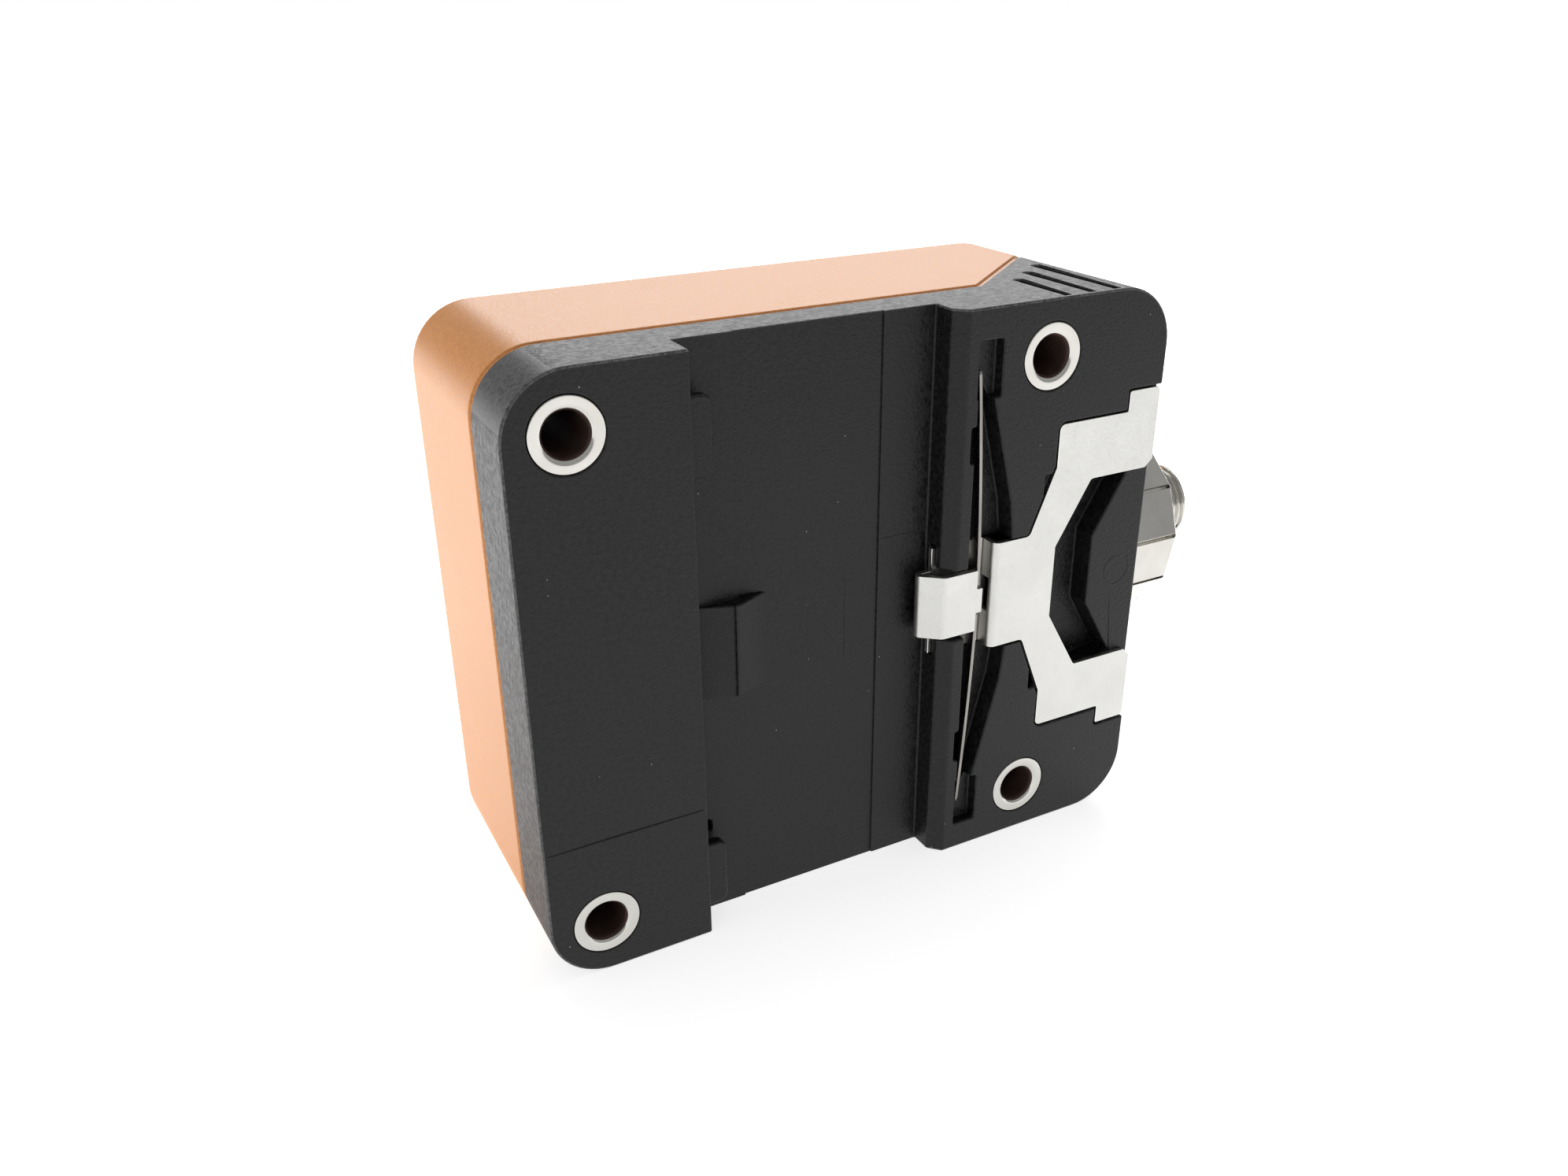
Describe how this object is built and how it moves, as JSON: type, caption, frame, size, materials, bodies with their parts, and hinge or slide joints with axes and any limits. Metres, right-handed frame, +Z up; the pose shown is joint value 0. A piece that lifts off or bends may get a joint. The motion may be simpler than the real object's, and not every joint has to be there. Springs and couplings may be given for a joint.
{
  "type": "block proximity sensor",
  "caption": "Block-shaped proximity sensor with orange cover, black base, screw sleeves, a sprung clamp for a 35 mm rail and a round threaded connector",
  "frame": {"origin": "centre of the four-hole fixing pattern, on the mounting face", "axes": "+X along the housing towards the connector, +Y from the mounting face to the sensing face, +Z up along the rail; the block stands on its long side"},
  "size_m": [0.1115, 0.04, 0.08],
  "materials": {
    "base": "fine-grained black thermoplastic",
    "cover": "fine-textured orange thermoplastic",
    "seal": "black nitrile gasket",
    "sleeve": "nickel-plated brass, turned",
    "clamp": "satin stainless sheet with polished edges",
    "spring": "rolled spring-steel strip",
    "connector_metal": "nickel-plated brass",
    "insert": "black moulded contact carrier",
    "contact": "gold-plated brass",
    "lead": "tinned copper wire",
    "board": "green solder resist on glass-epoxy",
    "chip": "black moulded package",
    "capacitor": "tan ceramic chip",
    "resistor": "black film on ceramic",
    "led": "clear resin over a yellow emitter",
    "light_guide": "frosted clear polycarbonate",
    "resin": "dark cast resin",
    "carrier": "natural nylon",
    "shield": "rolled brass foil",
    "ferrite": "sintered dark grey ferrite",
    "former": "natural moulded plastic",
    "copper": "enamelled copper wire"
  },
  "bodies": {
    "housing": {"base": "base", "front_cover": "cover", "cover_seal": "seal", "fixing_sleeves": "sleeve", "leaf_spring": "spring", "connector_shell": "connector_metal", "connector_collar": "connector_metal", "collar_seal": "seal", "contact_insert": "insert", "contact_pins": "contact", "contact_leads": "lead", "circuit_board": "board", "controller_chip": "chip", "output_drivers": "chip", "capacitors": "capacitor", "resistors": "resistor", "status_leds": "led", "light_guides": "light_guide", "potting_resin": "resin", "coil_carrier": "carrier", "shield_plate": "shield", "ferrite_core": "ferrite", "coil_former": "former", "coil_winding": "copper", "coil_leads": "copper"},
    "clamp": {"rail_clamp": "clamp"}
  },
  "joints": [
    {"name": "clamp_slide", "type": "slide", "parent": "housing", "child": "clamp", "axis": [1, 0, 0], "range_m": [0, 0.0031], "stiffness_N_per_m": 1000, "springref_m": -0.0025, "deforming": ["leaf_spring"]}
  ]
}
